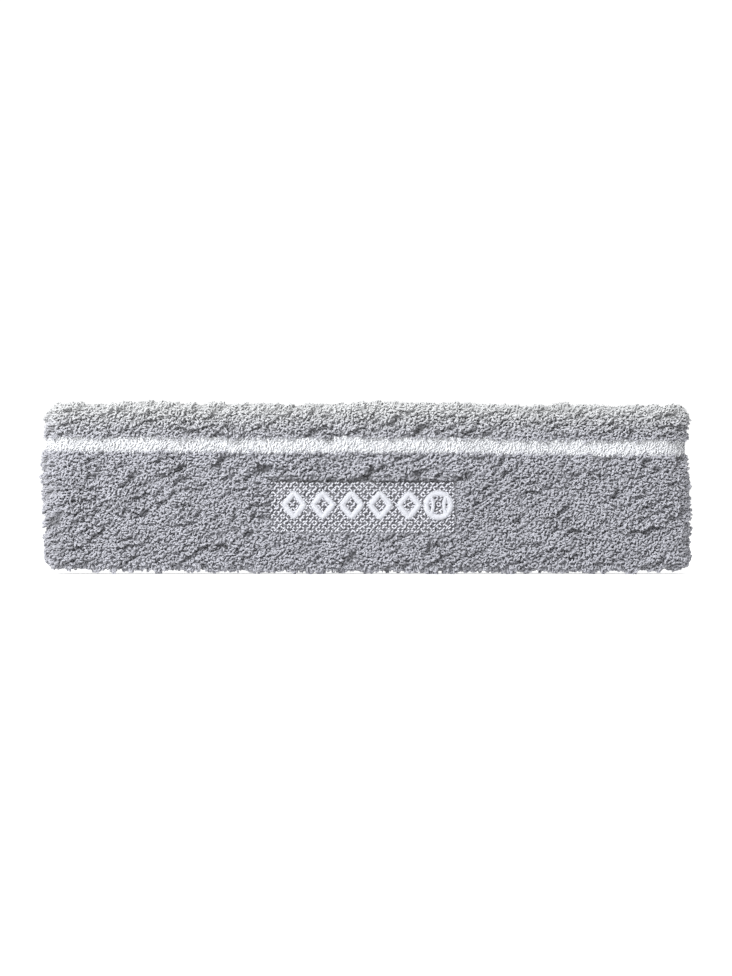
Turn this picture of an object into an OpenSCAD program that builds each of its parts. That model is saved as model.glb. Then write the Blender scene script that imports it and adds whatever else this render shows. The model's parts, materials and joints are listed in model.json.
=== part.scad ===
// Terry sports headband: one closed loop of stretch towelling, folded double so
// that both faces are pile, standing on its lower edge with the loop nearly flat.
// X runs along the flat band, -Y is the embroidered front, Z is the loop's axis.
// The origin is under the middle of the band, on the plane that it stands on.

/* [Band] */
// Width of the flat band, from side fold to side fold
band_w = 188; // [176:1:210]
// Height of the band
band_h = 50; // [46:1:70]
// Thickness of one doubled wall
wall_t = 5; // [4.8:0.1:6]
// Gap between the front and the back wall at rest
loop_gap = 6; // [5:0.5:12]
// Rounding of the wall's four long edges
edge_r = 2; // [1.5:0.1:2.2]

/* [Layers] */
// Depth of the looped pile on each face
pile_t = 1.5; // [1.3:0.1:1.6]
// Thickness of one layer of the knitted ground
ground_t = 0.75; // [0.7:0.05:0.8]
// Diameter of a covered elastic thread
elastic_d = 0.5; // [0.4:0.05:0.55]
// Height between elastic threads
elastic_pitch = 4; // [3:0.5:6]

/* [Stripe] */
// Height of the lower edge of the stripe
stripe_z = 35; // [30:0.5:38]
// Height of the stripe itself
stripe_h = 4.6; // [3:0.2:6]
// How far the short pile of the stripe lies below the grey pile
stripe_drop = 0.5; // [0.2:0.1:0.8]

/* [Closing seam] */
// Height of the seam on the inner face
seam_z = 8; // [6:0.5:12]
// Diameter of the linked seam
seam_d = 1.3; // [1:0.1:1.4]

/* [Embroidery] */
// Width of the patch where net stitches hold the pile down
patch_w = 53; // [48:1:58]
// Height of that patch
patch_h = 14; // [12:0.5:16]
// Height of the middle of the patch
patch_z = 20; // [18:0.5:24]
// How deep the patch is pressed into the pile
patch_drop = 0.8; // [0.6:0.1:0.9]
// Thickness of the net stitches
net_t = 0.25; // [0.2:0.05:0.3]
// Height of the satin-stitched figures
figure_h = 8.8; // [7:0.2:10]
// Width of a satin-stitched line
satin_w = 1.4; // [1:0.1:1.8]
// Number of lozenges beside the ball
lozenges = 5; // [3:1:5]
// Spacing of the lozenges
lozenge_pitch = 8.3; // [8:0.1:8.6]

/* [Flex] */
// Distance from the middle of the band to the bends beside it
bend_x = 45; // [34:1:60]
// Clearance between two panels of the loop
bend_gap = 0.3; // [0.3:0.05:0.4]
// How far each side panel reaches round the fold from its tip, in degrees
side_arc = 45; // [35:1:55]

/* [Hidden] */
$fn = 48;
skin_y = loop_gap / 2;              // inner face of a wall, from the loop's middle plane
mid_y = skin_y + wall_t / 2;        // middle of a wall
face_y = skin_y + wall_t;           // outer face of a wall
fold_x = band_w / 2 - face_y;       // axis of the side folds
ground_y = skin_y + pile_t;         // inner side of the doubled ground knit
ground_w = wall_t - 2 * pile_t;     // both layers of ground knit with the slit between
ground_r = 0.45 * ground_w;         // rounding of the folded ground knit
slit_t = ground_w - 2 * ground_t;   // space between the two layers
slit_end = pile_t + ground_t;       // distance of the slit's ends from the band's edges
groove = seam_d + 0.05;             // depth and width of the groove that the seam lies in
backing_t = slit_t / 2;             // stabiliser fleece behind the embroidery
backing_margin = 2;                 // how far it reaches past the patch
bobbin_t = 0.15;                    // lower thread behind the fleece
bobbin_w = 0.5;                     // width of that thread's columns
lozenge_w = 7.4;
ball_r = figure_h / 2;
seam_arc_x = 1.55 * ball_r;         // centres of the two curved seams on the ball
seam_arc_r = 1.15 * ball_r;
figures_w = lozenges * lozenge_pitch + 2 * ball_r;
thread_z0 = 5;
thread_count = floor((band_h - 2 * thread_z0) / elastic_pitch) + 1;
pad = 1;                            // how far a cutting shape runs past what it cuts

LAYERS = ["outer_terry", "stripe", "inner_terry", "ground_knit", "elastic_threads", "closing_seam"];
PANELS = ["front_centre", "front_right", "right_side", "back_right", "back_centre_right",
          "front_left", "left_side", "back_left", "back_centre_left"];
EMBROIDERY = ["embroidery_net", "embroidery_figures", "embroidery_backing", "bobbin_thread"];

// ---- Section through one wall: x is the distance from the loop's middle plane, y is height

module band_rect(x, y, w, h, r) {
    translate([x + r, y]) square([w - 2 * r, h]);
    translate([x, y + r]) square([w, h - 2 * r]);
    for (cx = [x + r, x + w - r], cy = [y + r, y + h - r])
        translate([cx, cy]) circle(r);
}

module wall_section() {
    band_rect(skin_y, 0, wall_t, band_h, edge_r);
}

module ground_section() {
    band_rect(ground_y, pile_t, ground_w, band_h - 2 * pile_t, ground_r);
}

module skin_zone() {
    translate([skin_y - pad, edge_r]) square([pile_t + pad, band_h - 2 * edge_r]);
}

module stripe_zone() {
    translate([mid_y, stripe_z]) square([wall_t, stripe_h]);
}

// The grey pile below and above the stripe, wrapped round the edges of the band
module outer_terry_section() {
    difference() {
        wall_section();
        ground_section();
        skin_zone();
        stripe_zone();
    }
}

module stripe_section() {
    translate([ground_y + ground_w, stripe_z]) square([pile_t - stripe_drop, stripe_h]);
}

module inner_terry_section() {
    difference() {
        translate([skin_y, edge_r]) square([pile_t, band_h - 2 * edge_r]);
        translate([skin_y - pad, seam_z]) square([pad + groove, groove]);
    }
}

module thread_section() {
    for (side = [0, 1], i = [0 : thread_count - 1])
        translate([ground_y + ground_t / 2 + side * (ground_w - ground_t), thread_z0 + i * elastic_pitch])
            circle(elastic_d / 2, $fn = 16);
}

module ground_knit_section() {
    difference() {
        ground_section();
        translate([ground_y + ground_t, slit_end]) square([slit_t, band_h - 2 * slit_end]);
        thread_section();
    }
}

module closing_seam_section() {
    translate([skin_y + groove / 2, seam_z + groove / 2]) circle(seam_d / 2, $fn = 24);
}

module layer_section(layer) {
    if (layer == "outer_terry") outer_terry_section();
    if (layer == "stripe") stripe_section();
    if (layer == "inner_terry") inner_terry_section();
    if (layer == "ground_knit") ground_knit_section();
    if (layer == "elastic_threads") thread_section();
    if (layer == "closing_seam") closing_seam_section();
}

// ---- Panels of the loop: a section swept along a straight wall or round a side fold

// From x0 to x1 along the back wall
module straight(x0, x1) {
    translate([x0, 0, 0]) rotate([90, 0, 90]) linear_extrude(x1 - x0) children();
}

// A block that takes away the fold on one side of a plane through its axis, with half of the
// clearance. The angle counts from the fold's tip, and the block lies clockwise of the plane.
module fold_cut(angle) {
    reach = face_y + pad;
    translate([fold_x, 0, -pad]) rotate([0, 0, angle])
        translate([0, -reach, 0]) cube([reach, reach + bend_gap / 2, band_h + 2 * pad]);
}

// Straight wall from a bend to the fold, then round it to the side panel
module wall_panel() {
    straight(bend_x + bend_gap / 2, fold_x) children();
    difference() {
        translate([fold_x, 0, 0]) rotate_extrude(angle = 90) children();
        fold_cut(side_arc);
    }
}

module side_panel() {
    difference() {
        translate([fold_x, 0, 0]) rotate([0, 0, -90]) rotate_extrude(angle = 180) children();
        fold_cut(-side_arc);
        mirror([0, 1, 0]) fold_cut(-side_arc);
    }
}

module panel(name) {
    if (name == "front_centre")
        mirror([0, 1, 0]) straight(-bend_x + bend_gap / 2, bend_x - bend_gap / 2) children();
    if (name == "front_right") mirror([0, 1, 0]) wall_panel() children();
    if (name == "right_side") side_panel() children();
    if (name == "back_right") wall_panel() children();
    if (name == "front_left") rotate([0, 0, 180]) wall_panel() children();
    if (name == "left_side") mirror([1, 0, 0]) side_panel() children();
    if (name == "back_left") mirror([1, 0, 0]) wall_panel() children();
    if (name == "back_centre_right") straight(bend_gap / 2, bend_x - bend_gap / 2) children();
    if (name == "back_centre_left") straight(-bend_x + bend_gap / 2, -bend_gap / 2) children();
}

// ---- Embroidery on the front centre panel

module on_front(depth, thickness) {
    translate([0, depth - face_y, patch_z]) rotate([90, 0, 0])
        translate([0, 0, -thickness]) linear_extrude(thickness) children();
}

module patch_outline(margin = 0) {
    square([patch_w + 2 * margin, patch_h + 2 * margin], center = true);
}

module lozenge(line_w) {
    // The line is measured square to the lozenge's sides
    side = sqrt(pow(lozenge_w, 2) + pow(figure_h, 2)) / 2;
    in_x = line_w * side / (figure_h / 2);
    in_y = line_w * side / (lozenge_w / 2);
    half = [lozenge_w / 2, figure_h / 2];
    inner = half - [in_x, in_y];
    difference() {
        polygon([[half.x, 0], [0, half.y], [-half.x, 0], [0, -half.y]]);
        polygon([[inner.x, 0], [0, inner.y], [-inner.x, 0], [0, -inner.y]]);
    }
}

module ball(line_w) {
    difference() {
        circle(ball_r);
        circle(ball_r - line_w);
    }
    intersection() {
        circle(ball_r - line_w / 2);
        for (side = [-1, 1]) translate([side * seam_arc_x, 0]) difference() {
            circle(seam_arc_r);
            circle(seam_arc_r - line_w * 0.7);
        }
    }
}

module figures(line_w) {
    for (i = [0 : lozenges - 1])
        translate([-figures_w / 2 + (i + 0.5) * lozenge_pitch, 0]) lozenge(line_w);
    translate([figures_w / 2 - ball_r, 0]) ball(line_w);
}

module embroidery_net() {
    color("gainsboro") on_front(patch_drop - net_t, net_t) patch_outline();
}

module embroidery_figures() {
    color("white") on_front(0, patch_drop - net_t) figures(satin_w);
}

module embroidery_backing() {
    color("whitesmoke") on_front(pile_t + ground_t, backing_t) patch_outline(backing_margin);
}

module bobbin_thread() {
    color("white") on_front(pile_t + ground_t + backing_t, bobbin_t) figures(bobbin_w);
}

// ---- One layer of one panel

function layer_colour(layer) =
    layer == "outer_terry" ? "silver" :
    layer == "stripe" ? "white" :
    layer == "inner_terry" ? "lightgray" :
    layer == "ground_knit" ? "gray" :
    layer == "elastic_threads" ? "ivory" : "darkgray";

module loop_layer(name, layer) {
    color(layer_colour(layer)) difference() {
        panel(name) layer_section(layer);
        if (name == "front_centre" && layer == "outer_terry")
            on_front(-pad, pad + patch_drop) patch_outline();
    }
}

for (p = PANELS, l = LAYERS)
    loop_layer(p, l);
embroidery_net();
embroidery_figures();
embroidery_backing();
bobbin_thread();
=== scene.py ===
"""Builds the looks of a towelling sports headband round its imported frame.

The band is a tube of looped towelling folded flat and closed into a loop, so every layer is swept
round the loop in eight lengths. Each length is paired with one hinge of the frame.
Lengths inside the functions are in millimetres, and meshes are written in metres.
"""
import json
import math
from collections import namedtuple

import bpy
import numpy as np
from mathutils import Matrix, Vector, noise


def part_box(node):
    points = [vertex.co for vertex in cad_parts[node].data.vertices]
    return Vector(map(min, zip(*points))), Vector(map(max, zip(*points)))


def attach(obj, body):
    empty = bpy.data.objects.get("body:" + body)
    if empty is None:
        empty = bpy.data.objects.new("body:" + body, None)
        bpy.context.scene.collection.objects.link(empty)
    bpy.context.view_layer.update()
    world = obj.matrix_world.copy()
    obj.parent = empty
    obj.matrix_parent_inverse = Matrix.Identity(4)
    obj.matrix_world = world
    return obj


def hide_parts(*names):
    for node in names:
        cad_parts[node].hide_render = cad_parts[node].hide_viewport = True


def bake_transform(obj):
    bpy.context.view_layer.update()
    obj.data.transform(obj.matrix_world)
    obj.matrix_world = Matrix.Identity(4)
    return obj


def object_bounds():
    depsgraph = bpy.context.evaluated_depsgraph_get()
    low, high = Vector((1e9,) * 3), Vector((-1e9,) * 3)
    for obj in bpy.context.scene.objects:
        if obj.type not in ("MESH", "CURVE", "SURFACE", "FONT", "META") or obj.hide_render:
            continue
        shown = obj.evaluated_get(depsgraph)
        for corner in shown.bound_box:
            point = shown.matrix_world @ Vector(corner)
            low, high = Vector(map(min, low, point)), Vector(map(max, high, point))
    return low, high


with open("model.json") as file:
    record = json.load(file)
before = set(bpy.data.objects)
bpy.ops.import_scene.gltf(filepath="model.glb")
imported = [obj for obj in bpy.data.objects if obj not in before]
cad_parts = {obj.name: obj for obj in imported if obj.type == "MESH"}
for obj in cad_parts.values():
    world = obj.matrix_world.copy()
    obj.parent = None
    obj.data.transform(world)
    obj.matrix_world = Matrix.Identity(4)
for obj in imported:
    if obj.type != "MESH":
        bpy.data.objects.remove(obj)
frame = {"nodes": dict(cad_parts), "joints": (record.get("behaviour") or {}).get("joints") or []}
CAD_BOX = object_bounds()

bl_info = {
    "name": "Towelling headband",
    "version": (1, 0, 0),
    "blender": (4, 5, 0),
    "location": "View3D > Sidebar > Headband",
    "description": "Pile, stripe, embroidery and seams of a towelling headband",
    "category": "Mesh",
}

MM = 0.001


def node_box(node):
    """Lowest and highest corner of a frame node, in millimetres."""
    low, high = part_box(node)
    return [v / MM for v in low], [v / MM for v in high]


# ---- Sizes of the frame, in millimetres

HALF_W = CAD_BOX[1].x / MM
BAND_H = CAD_BOX[1].z / MM
FACE = CAD_BOX[1].y / MM
SKIN = -node_box("front_centre_inner_terry")[1][1]
MID = (FACE + SKIN) / 2
FOLD_X = HALF_W - FACE
GROUND_IN = -node_box("front_centre_ground_knit")[1][1]
GROUND_OUT = -node_box("front_centre_ground_knit")[0][1]
GROUND_Z0 = node_box("front_centre_ground_knit")[0][2]
STRIPE_Z0 = node_box("front_centre_stripe")[0][2]
STRIPE_Z1 = node_box("front_centre_stripe")[1][2]
STRIPE_FACE = -node_box("front_centre_stripe")[0][1]
SEAM_Z = sum(side[2] for side in node_box("front_centre_closing_seam")) / 2
PATCH_LOW, PATCH_HIGH = node_box("embroidery_net")
PATCH_LOW[0] -= 1.2     # the outermost net stitches spread a little further over the pile
PATCH_LOW[2] -= 1.0
FIGURE_LOW, FIGURE_HIGH = node_box("embroidery_figures")
HINGES = {j["name"]: [v / MM for v in j["pos_m"]] for j in frame["joints"]}
LOZENGES = 5            # in a row beside the ball
LOZENGE_PITCH = 8.3
SATIN_W = 1.75          # width of a satin-stitched line
FOLD_ARC = math.pi * MID
HALF_LOOP = 2 * FOLD_X + FOLD_ARC
CUT_S = FOLD_X - 21.0   # where a wall's length ends, on the rigid part of a wall panel

# start and end lie round the loop, counted from the front centre
Length = namedtuple("Length", "name start end body_a body_b hinge")
# A side's lengths from the front centre to the join at the back
SIDE_LENGTHS = (
    ("front_{}", 0, CUT_S, "front_centre", "front_{}", "front_{}_bend"),
    ("{}_fold_front", CUT_S, HALF_LOOP / 2, "front_{}", "{}_side", "{}_front_fold"),
    ("{}_fold_back", HALF_LOOP / 2, HALF_LOOP - CUT_S, "{}_side", "back_{}", "{}_back_fold"),
    ("back_{}", HALF_LOOP - CUT_S, HALF_LOOP, "back_{}", "back_centre_{}", "back_{}_bend"))


def make_lengths():
    """The lengths of both sides, those on the left mirrored."""
    lengths = []
    for side in ("right", "left"):
        for name, start, end, *joined in SIDE_LENGTHS:
            ends = (start, end) if side == "right" else (-end, -start)
            lengths.append(Length(name.format(side), *ends, *(n.format(side) for n in joined)))
    return lengths


LENGTHS = make_lengths()


# ---- Settings

def length_setting(label, description, default, low):
    """A setting in metres, given in millimetres."""
    return bpy.props.FloatProperty(name=label, description=description, default=default * MM,
                                   min=low * MM, unit="LENGTH", precision=5)


def density_setting(label, where, default, most):
    return bpy.props.FloatProperty(name=label, description=f"Loops per square millimetre {where}",
                                   default=default, min=0.1, max=most)


def colour_setting(label, description, default):
    return bpy.props.FloatVectorProperty(name=label, description=description, default=default,
                                         subtype="COLOR", size=3, min=0, max=1)


class HeadbandPile(bpy.types.PropertyGroup):
    """Sizes of the looped pile"""
    yarn: length_setting("Yarn", "Thickness of the pile yarn", 0.5, 0.2)
    loop_height: length_setting("Loop height", "Height of a loop above the ground", 1.3, 0.3)
    loop_width: length_setting("Loop width", "Distance between the feet of a loop", 0.82, 0.2)
    outer_density: density_setting("Outer density", "on the outside", 3.6, 6)
    inner_density: density_setting("Inner density", "on the inside", 2.6, 4)
    stripe_density: density_setting("Stripe density", "on the stripe", 3.4, 4)
    seed: bpy.props.IntProperty(
        name="Seed", description="Seed of the scattered loops", default=11)


class HeadbandColours(bpy.types.PropertyGroup):
    """Colours of the yarns, and the lighter grey painted at the top for the light from above"""
    grey: colour_setting("Grey", "Cotton of the grey pile", (0.355, 0.359, 0.395))
    # Painted light: a lighter grey for the upper part of the band, standing for the light that falls
    # on it from above.
    grey_top: colour_setting("Grey at the top", "Warmer grey towards the upper edge",
                             (0.465, 0.472, 0.475))
    white: colour_setting("White", "Pile of the stripe", (0.575, 0.585, 0.605))
    net: colour_setting("Net", "Thread of the net stitches", (0.56, 0.565, 0.61))
    satin: colour_setting("Satin", "Thread of the satin stitches", (0.47, 0.48, 0.515))


class HeadbandStage(bpy.types.PropertyGroup):
    """Light and camera"""
    key: bpy.props.FloatProperty(
        name="Key light", description="Power of the soft key light", default=17.0, min=0)
    sky: bpy.props.FloatProperty(
        name="Room light", description="Strength of the light from all round", default=1.05, min=0)
    lens: bpy.props.FloatProperty(
        name="Lens", description="Focal length of the camera in millimetres", default=100, min=20)


# ---- The loop's shape

def plan(s, d):
    """Place seen from above, s round the loop and d out from the loop's middle plane."""
    a = np.abs(s)
    turn = np.clip((a - FOLD_X) / MID, 0, math.pi)
    along = np.minimum(a, FOLD_X) - np.maximum(a - FOLD_X - FOLD_ARC, 0)
    return np.where(s < 0, -1, 1) * (along + d * np.sin(turn)), -d * np.cos(turn)


def smooth(low, high, value):
    t = np.clip((value - low) / (high - low), 0, 1)
    return t * t * (3 - 2 * t)


LOW_POINT = 38.0      # where the lower edge touches the floor
TIP_ROOM = 0.7        # how far the lower edge stands off the floor, for the tips of its loops
LEFT_LIFT = 1.2       # how far the lower edge rises towards the left end
RIGHT_LIFT = 0.7
RIGHT_DROOP = 1.0     # how far the upper part sinks towards the right end
TOP_WAVES = ((0.32, 11.0, 0.6), (0.2, 4.7, 2.0))   # height, length and start of each wave
END_REACH = 16.0      # how far from each end the ends are pulled in
# Radius of each corner, by its side (-1 for left) and whether it's a top corner
CORNER_R = {(-1, 0): 3.4, (1, 0): 2.6, (-1, 1): 1.2, (1, 1): 0.6}


def round_corner(x, z, side, top, radius):
    """Moves the square corner of the flat band onto a round one."""
    u = np.clip((x * side - (HALF_W - radius)) / radius, 0, 1)
    v = np.clip(((z - (BAND_H - radius)) if top else (radius - z)) / radius, 0, 1)
    du = u * np.sqrt(1 - v * v / 2) - u
    dv = v * np.sqrt(1 - u * u / 2) - v
    return x + side * radius * du, z + (1 if top else -1) * radius * dv


def settle(x, y, z):
    """The small unevenness of a soft band that lies flat."""
    for (side, top), radius in CORNER_R.items():
        x, z = round_corner(x, z, side, top, radius)
    end = smooth(HALF_W - END_REACH, HALF_W, np.abs(x))
    pull_left = 1.1 * ((z - 22) / 26) ** 2 + 1.0 * smooth(46.4, 47.8, z)
    pull_right = 0.7 * smooth(27, 36, z) * (1 - 0.3 * smooth(41, 47, z)) - 0.2
    x = x + np.where(x < 0, pull_left, -pull_right) * end
    far = np.where(x < LOW_POINT, (LOW_POINT - x) / (LOW_POINT + HALF_W),
                   (x - LOW_POINT) / (HALF_W - LOW_POINT))
    lift = np.where(x < LOW_POINT, LEFT_LIFT, RIGHT_LIFT) * far ** 2
    crown = sum(h * np.sin(x / w + start) for h, w, start in TOP_WAVES)
    droop = RIGHT_DROOP * smooth(10, HALF_W, x) * smooth(15, 35, z)
    z = z + lift * (1 - z / BAND_H) + crown * smooth(BAND_H * 0.6, BAND_H, z) - droop
    z = z + TIP_ROOM * (1 - smooth(0, 6, z))
    return x, y, z


def place(s, d, z):
    """Points in millimetres for places (s, d, z) in the wall."""
    s, d, z = np.broadcast_arrays(np.asarray(s, float), np.asarray(d, float), np.asarray(z, float))
    x, y = plan(s, d)
    return np.stack(settle(x, y, z), -1)


JOIN = 12.0           # length over which the two ends of the loop are matched at the back


def field(s, z, scale, seed, stretch=1.0, slope=0.0):
    """Smooth noise from -1 to 1 over the wall, alike on both sides of the join at the back. Its
    lumps are stretched along a line at that slope."""
    s, z = np.broadcast_arrays(s, z)
    c, n = math.cos(slope), math.sin(slope)

    def flat(s, z):
        u, v = (s * c + z * n) / (scale * stretch), (z * c - s * n) / scale
        values = [noise.noise(Vector((a, b, seed))) for a, b in zip(u.ravel(), v.ravel())]
        return np.array(values).reshape(s.shape)

    value = flat(s, z)
    near = np.abs(s) > HALF_LOOP - JOIN
    if near.any():
        share = 0.5 * smooth(HALF_LOOP - JOIN, HALF_LOOP, np.abs(s[near]))
        other = flat(s[near] - np.sign(s[near]) * 2 * HALF_LOOP, z[near])
        value[near] = value[near] * (1 - share) + other * share
    return value


# ---- Meshes

def make_object(name, points, faces, material=None, smooth_faces=True):
    mesh = bpy.data.meshes.new(name)
    mesh.from_pydata((np.asarray(points, float) * MM).tolist(), [], faces)
    mesh.polygons.foreach_set("use_smooth", [smooth_faces] * len(mesh.polygons))
    mesh.update()
    made = bpy.data.objects.new(name, mesh)
    bpy.context.scene.collection.objects.link(made)
    if material:
        made.data.materials.append(material)
    return made


def arc(centre_d, centre_z, radius, start, end, count):
    """Points of an arc in the wall's section, angles in degrees."""
    angle = np.radians(np.linspace(start, end, count))
    return np.stack([centre_d + radius * np.cos(angle), centre_z + radius * np.sin(angle)], -1)


def line(a, b, step):
    """Points from a to b, about a step apart."""
    count = max(2, int(round(math.dist(a, b) / step)) + 1)
    return np.linspace(a, b, count)


def join_path(*parts):
    path = [parts[0]]
    for part in parts[1:]:
        path.append(part[1:] if np.allclose(part[0], path[-1][-1]) else part)
    return np.concatenate(path)


def path_normals(path):
    """Unit normals of a section path, to the left of its direction."""
    run = np.gradient(path, axis=0)
    run /= np.linalg.norm(run, axis=1, keepdims=True)
    return np.stack([-run[:, 1], run[:, 0]], -1)


def grid_faces(rows, columns, offset=0, closed=False):
    """Quads over a grid of points, the columns closed into a ring if asked."""
    faces = []
    for i in range(rows - 1):
        for j in range(columns if closed else columns - 1):
            k = (j + 1) % columns
            a, b = offset + i * columns, offset + (i + 1) * columns
            faces.append((a + j, a + k, b + k, b + j))
    return faces


def shell(name, outer, back, length, step, relief=None, closed=False, skip=1):
    """Sweeps a layer with a seen face and a hidden back along one length of the loop, and gives the
    object and the places of its columns. outer and back are section paths with their outsides to
    the left, and relief lifts the seen face. The back has one column for every skip columns of the
    seen face."""
    count = max(1, int(round((length.end - length.start) / step / skip))) * skip + 1
    s = np.linspace(length.start, length.end, count)[:, None]
    d, z = (np.repeat(outer[None, :, i], count, 0) for i in (0, 1))
    if relief is not None:
        away = path_normals(outer)
        height = relief(s, d, z)
        d, z = d + away[:, 0] * height, z + away[:, 1] * height
    n, m, base = len(outer), len(back), count * len(outer)
    rows = (count - 1) // skip + 1
    points = np.concatenate([place(s, d, z).reshape(-1, 3),
                             place(s[::skip], back[None, :, 0], back[None, :, 1]).reshape(-1, 3)])
    seen = grid_faces(count, n, closed=closed)
    hidden = [face[::-1] for face in grid_faces(rows, m, base, closed=closed)]
    rim = []
    last, last_back = (count - 1) * n, base + (rows - 1) * m
    if closed:
        for j in range(n):
            k = (j + 1) % n
            rim.append((k, j, base + j, base + k))
            rim.append((last + j, last + k, last_back + k, last_back + j))
    else:
        for i in range(rows - 1):
            front = [(i * skip + step_on) * n for step_on in range(skip + 1)]
            behind = [base + (i + 1) * m, base + i * m]
            rim.append((*front, *behind))
            rim.append((*(f + n - 1 for f in front[::-1]), *(f + m - 1 for f in behind[::-1])))
        rim.append((*range(n - 1, -1, -1), *range(base, base + m)))
        rim.append((*range(last, last + n), *range(last_back + m - 1, last_back - 1, -1)))
    faces = seen + hidden + rim
    made = make_object(name, points, faces)
    mesh = made.data
    soft = len(seen) + len(hidden)
    mesh.polygons.foreach_set("use_smooth", [i < soft for i in range(len(faces))])
    flag = mesh.attributes.new("pile_face", "BOOLEAN", "FACE")
    flag.data.foreach_set("value", [i < len(seen) for i in range(len(faces))])
    along = (np.repeat(np.linspace(0, 1, count), n), np.repeat(np.linspace(0, 1, rows), m))
    across = (np.tile(np.linspace(0, 0.48, n), count), np.tile(np.linspace(1, 0.52, m), rows))
    keep_map(mesh, np.stack([np.concatenate(along), np.concatenate(across)], -1))
    return made, s


def keep_map(mesh, share):
    """Gives a bed its own map in the strip above the loops', from each point's share of the strip."""
    corner = np.empty(len(mesh.loops), int)
    mesh.loops.foreach_get("vertex_index", corner)
    at = share[corner] * (1.0, 1 - BED_MAP_V) + (0.0, BED_MAP_V)
    layer = mesh.uv_layers.new(name="OFBake")
    layer.data.foreach_set("uv", at.astype(np.float32).ravel())


def point_values(mesh, name, values):
    """Stores a value for every point: one number, or three for a vector."""
    vector = np.ndim(values) == 2
    made = mesh.attributes.new(name, "FLOAT_VECTOR" if vector else "FLOAT", "POINT")
    made.data.foreach_set("vector" if vector else "value", np.asarray(values, np.float32).ravel())


# ---- Geometry Nodes

def new_tree(name, sockets):
    """A Geometry Nodes tree with one geometry in, one out, and inputs as (name, type, default)."""
    tree = bpy.data.node_groups.new(name, "GeometryNodeTree")
    tree.interface.new_socket("Geometry", in_out="INPUT", socket_type="NodeSocketGeometry")
    for label, kind, default in sockets:
        socket = tree.interface.new_socket(label, in_out="INPUT", socket_type="NodeSocket" + kind)
        if default is not None:
            socket.default_value = default
    tree.interface.new_socket("Geometry", in_out="OUTPUT", socket_type="NodeSocketGeometry")
    return tree


def add(tree, kind, inputs=None, **settings):
    """Adds a node, sets its settings first, and then its inputs by name or by place."""
    node = tree.nodes.new(kind)
    for key, value in settings.items():
        setattr(node, key, value)
    for key, value in (inputs or {}).items():
        if isinstance(key, int):
            socket = node.inputs[key]
        else:
            socket = next(s for s in node.inputs if s.name == key and s.enabled)
        for one in value if isinstance(value, list) else [value]:
            if isinstance(one, bpy.types.NodeSocket):
                tree.links.new(one, socket)
            else:
                socket.default_value = one
    return node


def out(node, name=0):
    """An output socket of a node, by name or by place among those in use."""
    live = [s for s in node.outputs if s.enabled]
    return live[name] if isinstance(name, int) else next(s for s in live if s.name == name)


def put(tree, kind, inputs=None, **settings):
    """Adds a node and gives its first output."""
    return out(add(tree, kind, inputs, **settings))


def number(tree, operation, a, b=0.0, c=0.0):
    return put(tree, "ShaderNodeMath", {0: a, 1: b, 2: c}, operation=operation)


def vector(tree, operation, a, b=None, scale=None):
    inputs = {0: a}
    if b is not None:
        inputs[1] = b
    if scale is not None:
        inputs["Scale"] = scale
    return put(tree, "ShaderNodeVectorMath", inputs, operation=operation)


def combine(tree, x, y, z):
    return put(tree, "ShaderNodeCombineXYZ", {0: x, 1: y, 2: z})


def random_number(tree, low, high, seed):
    return put(tree, "FunctionNodeRandomValue", {"Min": low, "Max": high, "Seed": seed},
               data_type="FLOAT")


def named(tree, name, kind="FLOAT"):
    return put(tree, "GeometryNodeInputNamedAttribute", {"Name": name}, data_type=kind)


def store(tree, geometry, name, value, domain="POINT", kind="FLOAT"):
    return put(tree, "GeometryNodeStoreNamedAttribute",
               {"Geometry": geometry, "Name": name, "Value": value}, data_type=kind, domain=domain)


def thread_profile(tree, sides, radius):
    """The round section of a thread."""
    return put(tree, "GeometryNodeCurvePrimitiveCircle", {"Resolution": sides, "Radius": radius},
               mode="RADIUS")


def mark_around(tree, profile):
    """Stores on a section how far round the thread a point lies, from 0 to 1 and back."""
    angle = number(tree, "MULTIPLY", put(tree, "GeometryNodeSplineParameter"), 2 * math.pi)
    wave = number(tree, "SINE", angle)
    return store(tree, profile, "around", number(tree, "MULTIPLY_ADD", wave, 0.5, 0.5))


def arch(tree, points, start, start_handle, end_handle, end):
    """A bent curve that stores how far along it a point lies."""
    curve = put(tree, "GeometryNodeCurvePrimitiveBezierSegment", {
        "Resolution": points, "Start": start, "Start Handle": start_handle,
        "End Handle": end_handle, "End": end}, mode="POSITION")
    return store(tree, curve, "along_loop", put(tree, "GeometryNodeSplineParameter"))


def thick(tree, curve, profile):
    """A closed tube along a curve."""
    return put(tree, "GeometryNodeCurveToMesh",
               {"Curve": curve, "Profile Curve": profile, "Fill Caps": True})


def finish_tree(tree, geometry, material):
    done = put(tree, "GeometryNodeSetMaterial", {"Geometry": geometry, "Material": material})
    add(tree, "NodeGroupOutput", {"Geometry": done})
    return tree


HANDLE_RISE = 1.34      # how far a bend's handles lie above the height that it reaches
FOOT_SINK = 0.6         # how deep a loop's feet lie, in thicknesses of its yarn
LOOP_BULGE = 0.62       # how far a loop's handles lie out, in widths of the loop
LOOP_POINTS = 3
STITCH_POINTS = 6
LOOP_SIZES = (0.78, 1.22)
LOOP_WIDTHS = (0.85, 1.1)
LOOP_TONES = (0.6, 1.0)
# Painted shade: loops in a crease are painted darker by this, for the shade that falls there.
PAINTED_CREASE_SHADE = 2.2      # how much darker the loops in a crease are
BED_MAP_V = 0.86        # where a bed's strip of the map starts, above the strip of its loops
LOOP_MAP_V = 0.85
CELL_EDGE = 0.1         # share of a loop's cell in the map that stays free
# Sideways and lengthways lean of the handles of each kind of loop, as shares of its width
LOOP_KINDS = ((0.0, 0.0, 1.0), (0.55, 0.15, 0.9), (-0.6, 0.1, 1.05), (0.9, -0.45, 0.75),
              (-0.35, 0.5, 1.15), (0.25, -0.6, 0.85))


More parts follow.
